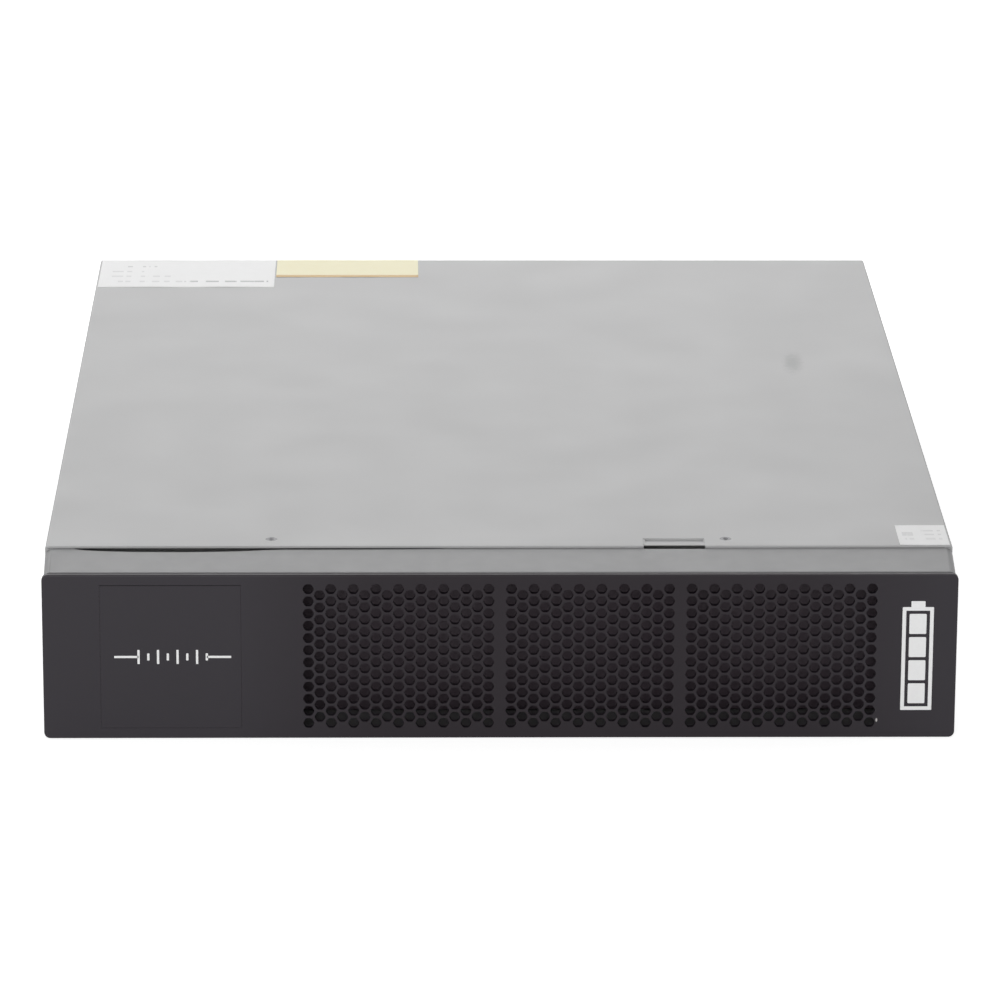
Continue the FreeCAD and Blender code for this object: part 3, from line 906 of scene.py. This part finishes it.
def holeTool(front):
    # six-sided punch with rounded corners and a flared mouth, flats at top and bottom, at x 0 and z 0
    across = panelSet["holeAcross"]
    flare = front + panelSet["mouth"]
    end = front + panelSet["thick"] + past
    bpy.ops.object.select_all(action="DESELECT")
    bpy.ops.mesh.primitive_cylinder_add(vertices=6, radius=across / math.sqrt(3), depth=end - flare,
                                        location=(0, (flare + end) / 2, 0),
                                        rotation=(math.pi / 2, math.pi / 6, 0))
    tool = settle("holeTool")
    edit(tool)
    pick(tool, "EDGE", alongY)
    bpy.ops.mesh.bevel(offset=panelSet["holeCorner"], segments=2, affect="EDGES")
    reach = panelSet["mouth"] + panelSet["mouthPast"]
    share = (across + 2 * reach) / across
    pick(tool, "FACE", looking((0, -1, 0)))
    bpy.ops.mesh.extrude_region_move(TRANSFORM_OT_translate={"value": (0, -reach, 0)})
    bpy.ops.transform.resize(value=(share, 1, share), center_override=(0, flare, 0))
    leaveEdit()
    return tool


def addVents(plate, front):
    # three fields of staggered columns, parted by bars one column wide
    tool = holeTool(front)
    bars = (panelSet["fields"][0], panelSet["fields"][0] + panelSet["fields"][1] + 1)
    count = sum(panelSet["fields"]) + len(bars)
    columns = []
    for column in range(count):
        if column in bars:
            continue
        odd = column % 2  # odd columns sit half a row lower and have one hole less
        x = panelSet["firstColumn"] + column * panelSet["columnPitch"]
        z = panelSet["topRow"] - odd * panelSet["rowPitch"] / 2
        punch = copyTo(tool, "punch", Matrix.Translation((x, 0, z)))
        applyModifier(punch, "ARRAY", count=panelSet["rows"] - odd, use_relative_offset=False,
                      use_constant_offset=True, constant_offset_displace=(0, 0, -panelSet["rowPitch"]))
        columns.append(punch)
    carve(plate, joinAll("punches", columns))
    bpy.data.objects.remove(tool)


def makeFrontPanel():
    low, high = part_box("front_panel")
    plate = panelPlate(low, high)
    addPocket(plate)
    addTabs(plate, low, high)
    addVents(plate, low.y + panelSet["faceBack"])
    smooth(plate)
    standFor(plate, "front_panel")


makeFrontPanel()
print("front panel made")


# Printed marks: plain battery signs in white

markSet = {
    "thick": 0.05 * mm,
    "corner": 0.25 * mm,
    "cellsMiddle": (-156.8 * mm, 41.4 * mm),
    "cellsWide": 56.0 * mm,
    "cellsHigh": 7.1 * mm,
    "cells": 4,
    "lead": 2.5,  # the line at each end, in steps from stroke to stroke
    "shortShare": 0.5,
    "stroke": 1.1 * mm,
    "gaugeMiddle": (200.0 * mm, 41.6 * mm),
    "gaugeWide": 15.0 * mm,
    "gaugeHigh": 55.0 * mm,
    "gaugeLine": 1.8 * mm,
    "gaugeSideCorner": 0.02 * mm,
    "gaugeCap": 3.0 * mm,
    "gaugeCapShare": 0.45,
    "gaugeBars": 4,
    "gaugeBarCorner": 0.5 * mm,
    "gaugeGap": 1.6 * mm,
    "ink": (0.96, 0.96, 0.96),
    "inkThin": (0.90, 0.90, 0.90),
}


def flatBar(x, z, wide, high, face, corner=markSet["corner"]):
    # a bar of print on an upright face, with rounded corners
    low = (x - wide / 2, face - markSet["thick"], z - high / 2)
    bar = addBlock("bar", low, (x + wide / 2, face, z + high / 2))
    edit(bar)
    pick(bar, "EDGE", alongY)
    bpy.ops.mesh.bevel(offset=corner, segments=3, affect="EDGES")
    leaveEdit()
    return bar


def cellsMark(face):
    # the drawing sign for a row of cells: long and short strokes on a line
    x, z = markSet["cellsMiddle"]
    stroke = markSet["stroke"]
    half = markSet["cellsWide"] / 2
    strokes = 2 * markSet["cells"]
    step = markSet["cellsWide"] / (strokes - 1 + 2 * markSet["lead"])
    run = step * markSet["lead"]
    bars = []
    for number in range(strokes):
        tall = markSet["cellsHigh"] * (markSet["shortShare"] if number % 2 else 1)
        bars.append(flatBar(x - half + run + step * number, z, stroke, tall, face))
    for end in (x - half + run / 2, x + half - run / 2):
        bars.append(flatBar(end, z, run, stroke, face))
    return joinAll("cellsMark", bars)


def gaugeMark(face):
    # an upright charge gauge: outline, cap and filled bars
    x, z = markSet["gaugeMiddle"]
    wide = markSet["gaugeWide"]
    high = markSet["gaugeHigh"]
    line = markSet["gaugeLine"]
    cap = markSet["gaugeCap"]
    gap = markSet["gaugeGap"]
    count = markSet["gaugeBars"]
    body = high - cap
    room = body - 2 * line
    low = z - high / 2
    bars = [flatBar(x, low + body + cap / 2, wide * markSet["gaugeCapShare"], cap, face)]
    for end in (low + line / 2, low + body - line / 2):
        bars.append(flatBar(x, end, wide, line, face))
    for side in (-1, 1):
        place = x + side * (wide - line) / 2
        bars.append(flatBar(place, low + body / 2, line, room, face, markSet["gaugeSideCorner"]))
    tall = (room - gap * (count + 1)) / count
    for number in range(count):
        middle = low + line + gap + tall / 2 + number * (tall + gap)
        bars.append(flatBar(x, middle, wide - 2 * line - 2 * gap, tall, face, markSet["gaugeBarCorner"]))
    return joinAll("gaugeMark", bars)


def whiteInk():
    # screen print, a little uneven
    finish = newFinish("whiteInk", markSet["ink"], roughness=0.55)
    tint(finish, noise(finish, scale=900, detail=4), markSet["ink"], markSet["inkThin"])
    roughen(finish, noise(finish, scale=700, detail=2), low=0.48, high=0.62)
    addBump(finish, noise(finish, scale=2400, detail=2), strength=0.1, distance=0.05 * mm)
    return finish


def makeMarks():
    ink = whiteInk()
    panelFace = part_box("front_panel")[0].y + panelSet["faceBack"]
    for mark in (cellsMark(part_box("display_blank")[0].y), gaugeMark(panelFace)):
        smooth(mark)
        dress(mark, ink)


makeMarks()
print("marks printed")


# Labels on the cover, with blank fields and rows of plain bars for print

labelSet = {
    "thick": 0.09 * mm,
    "gap": 0.01 * mm,
    "lift": 0.10 * mm,
    "liftReach": 6.0 * mm,
    "wave": (140, 95),  # along x and y, in radians a metre
    "grid": (24, 16),
    "white": ((-217.8 * mm, 229.8 * mm), (-118.5 * mm, 289.6 * mm)),
    "yellow": ((-117.7 * mm, 251.6 * mm), (-37.1 * mm, 289.6 * mm)),
    "small": ((193.6 * mm, -255.6 * mm), (217.7 * mm, -224.0 * mm)),
    "paper": (0.94, 0.94, 0.94),
    "paperDeep": (0.91, 0.91, 0.91),
    "sun": (0.95, 0.90, 0.64),
    "sunDeep": (0.93, 0.87, 0.60),
    "tan": (0.66, 0.46, 0.22),
    "tanDeep": 4.6 * mm,
    "ink": (0.30, 0.30, 0.31),
    # rows of print: x start, x end, y and height in millimetres, then strength
    "whiteRows": (
        (-205, -186, 275.0, 2.6, 0.35),
        (-211, -193, 264.0, 2.6, 0.25),
        (-211, -177, 253.5, 2.6, 0.25),
        (-207, -170, 242.0, 3.0, 0.25),
        (-170, -122, 242.0, 3.0, 0.6),
    ),
    "smallRows": (
        (196, 202, -238.0, 6.0, 0.25),
        (204, 215, -233.0, 2.0, 0.25),
        (204, 215, -239.0, 2.0, 0.25),
        (197, 215, -246.0, 3.0, 0.2),
    ),
}


def addSheet(name, corners):
    # a grid laid on the cover, its rim a hair off the paint
    (x0, y0), (x1, y1) = corners
    columns, rows = labelSet["grid"]
    waveX, waveY = labelSet["wave"]
    z = cadBounds[1][2] + labelSet["gap"]
    bpy.ops.object.select_all(action="DESELECT")
    bpy.ops.mesh.primitive_grid_add(x_subdivisions=columns, y_subdivisions=rows, size=1,
                                    location=((x0 + x1) / 2, (y0 + y1) / 2, z))
    bpy.context.object.scale = (x1 - x0, y1 - y0, 1)
    sheet = settle(name)
    for vertex in sheet.data.vertices:
        rim = min(vertex.co.x - x0, x1 - vertex.co.x, vertex.co.y - y0, y1 - vertex.co.y)
        wave = 0.5 + 0.5 * math.sin(waveX * vertex.co.x + waveY * vertex.co.y)
        vertex.co.z += labelSet["lift"] * wave * max(0, 1 - rim / labelSet["liftReach"])
    applyModifier(sheet, "SOLIDIFY", thickness=labelSet["thick"], offset=1)
    smooth(sheet)
    return sheet


def paperFinish(name, light, dark):
    # uncoated paper with a faint fibre
    finish = newFinish(name, light, roughness=0.6)
    tint(finish, noise(finish, scale=160, detail=4), light, dark)
    roughen(finish, noise(finish, scale=400, detail=3), low=0.5, high=0.66)
    addBump(finish, noise(finish, scale=2200, detail=3), strength=0.08, distance=0.05 * mm)
    return finish


def within(finish, value, low, high):
    # 1 between the two bounds, 0 outside them
    above = calculate(finish, "GREATER_THAN", value, low)
    below = calculate(finish, "LESS_THAN", value, high)
    return calculate(finish, "MULTIPLY", above, below)


def printRows(finish, rows):
    # each row is a broken bar
    paperColour = colourSoFar(finish)
    axes = splitXyz(finish)
    streaks = noise(finish, scale=330, detail=0, stretch=(1, 0.02, 0))
    dashes = spread(finish, streaks, 0, 1, fromLow=0.46, fromHigh=0.5)
    total = None
    for x0, x1, y, tall, strength in rows:
        inX = within(finish, axes["X"], x0 * mm, x1 * mm)
        inY = within(finish, axes["Y"], (y - tall / 2) * mm, (y + tall / 2) * mm)
        row = calculate(finish, "MULTIPLY", calculate(finish, "MULTIPLY", inX, inY), strength)
        total = row if total is None else calculate(finish, "ADD", total, row)
    tint(finish, calculate(finish, "MULTIPLY", total, dashes), paperColour, labelSet["ink"])


def printedLabel(name, rows):
    finish = paperFinish(name, labelSet["paper"], labelSet["paperDeep"])
    printRows(finish, rows)
    return finish


def yellowLabel():
    # pale field with a tan strip along the front edge
    finish = paperFinish("yellowLabel", labelSet["sun"], labelSet["sunDeep"])
    field = colourSoFar(finish)
    front = labelSet["yellow"][0][1] + labelSet["tanDeep"]
    frontStrip = calculate(finish, "LESS_THAN", splitXyz(finish)["Y"], front)
    tint(finish, frontStrip, field, labelSet["tan"])
    return finish


def makeLabels():
    white = printedLabel("whiteLabel", labelSet["whiteRows"])
    yellow = yellowLabel()
    small = printedLabel("smallLabel", labelSet["smallRows"])
    for name, corners, finish in (("whiteLabel", labelSet["white"], white),
                                  ("yellowLabel", labelSet["yellow"], yellow),
                                  ("smallLabel", labelSet["small"], small)):
        dress(addSheet(name, corners), finish)


makeLabels()
print("labels laid")


# Camera, floor and light

cameraSet = {
    "lens": 204.73,
    "sensor": 36.0,
    "elevation": 17.002,
    "azimuth": -1.103,
    "roll": 0.282,
    "distance": 2.7016,
    "target": (-0.50 * mm, -290 * mm, 119.85 * mm),
    "clipEnd": 100.0,
}


def addCamera():
    # looks at the target from the front and above, with a slight roll
    up = math.radians(cameraSet["elevation"])
    side = math.radians(cameraSet["azimuth"])
    roll = math.radians(cameraSet["roll"])
    back = Vector((math.sin(side) * math.cos(up), -math.cos(side) * math.cos(up), math.sin(up)))
    right = Vector((math.cos(side), math.sin(side), 0))
    above = back.cross(right)
    turned = math.cos(roll) * right + math.sin(roll) * above
    above = math.cos(roll) * above - math.sin(roll) * right
    eye = Vector(cameraSet["target"]) + cameraSet["distance"] * back
    data = bpy.data.cameras.new("camera")
    data.lens = cameraSet["lens"]
    data.sensor_width = cameraSet["sensor"]
    data.sensor_fit = "HORIZONTAL"
    data.clip_end = cameraSet["clipEnd"]
    camera = bpy.data.objects.new("camera", data)
    camera.matrix_world = Matrix((
        (turned.x, above.x, back.x, eye.x),
        (turned.y, above.y, back.y, eye.y),
        (turned.z, above.z, back.z, eye.z),
        (0, 0, 0, 1),
    ))
    bpy.context.scene.collection.objects.link(camera)
    bpy.context.scene.camera = camera


studio = {
    "floorSize": 24.0,
    "floorDrop": 0.05 * mm,
    "floorColour": (0.80, 0.80, 0.80),
    "floorRoughness": 0.9,
    "floorGlow": 0.68,
    "skyStrength": 0.34,
    "keyPower": 8.1,
    "keySize": 1.4,
    "keyAt": (-0.16, 1.1, 0.85),
    "fillPower": 38.0,
    "fillSize": 2.0,
    "fillAt": (-0.7, -2.9, 0.8),
    "sidePower": 12.0,
    "sideSize": 2.0,
    "sideAt": (2.6, -0.4, 0.8),
}


def seenDirectly(finish):
    # 1 for camera, glossy and transmission rays, 0 for the light that falls on things
    path = addNode(finish, "LightPath")
    either = calculate(finish, "MAXIMUM", path.outputs["Is Camera Ray"], path.outputs["Is Glossy Ray"])
    return calculate(finish, "MAXIMUM", either, path.outputs["Is Transmission Ray"])


def addFloor():
    # pale paper just below the base
    bpy.ops.object.select_all(action="DESELECT")
    bpy.ops.mesh.primitive_plane_add(size=studio["floorSize"], location=(0, 0, -studio["floorDrop"]))
    floor = settle("floor")
    finish = newFinish("floorPaper", studio["floorColour"], studio["floorRoughness"])
    shader = shaderOf(finish)
    shader.inputs["Specular IOR Level"].default_value = 0.0
    glow = calculate(finish, "MULTIPLY", seenDirectly(finish), studio["floorGlow"])
    shader.inputs["Emission Color"].default_value = (1, 1, 1, 1)
    link(finish, glow, shader.inputs["Emission Strength"])
    floor.data.materials.append(finish)


def addSky():
    world = bpy.data.worlds.new("studio")
    world.use_nodes = True
    bpy.context.scene.world = world
    backdrop = world.node_tree.nodes["Background"]
    backdrop.inputs["Color"].default_value = (1, 1, 1, 1)
    strength = spread(world, seenDirectly(world), studio["skyStrength"], 1, fromLow=0, fromHigh=1)
    link(world, strength, backdrop.inputs["Strength"])


def addLamp(name, power, size, place):
    data = bpy.data.lights.new(name, "AREA")
    data.energy = power
    data.size = size
    lamp = bpy.data.objects.new(name, data)
    lamp.location = place
    lamp.rotation_euler = (-Vector(place)).to_track_quat("-Z", "Y").to_euler()
    bpy.context.scene.collection.objects.link(lamp)


addCamera()
addFloor()
addSky()
addLamp("key", studio["keyPower"], studio["keySize"], studio["keyAt"])
addLamp("fill", studio["fillPower"], studio["fillSize"], studio["fillAt"])
for hand in (-1, 1):
    sideX, sideY, sideZ = studio["sideAt"]
    addLamp("side", studio["sidePower"], studio["sideSize"], (hand * sideX, sideY, sideZ))
bpy.context.scene.view_settings.view_transform = "Standard"
print("camera and light set")


print("scene built")
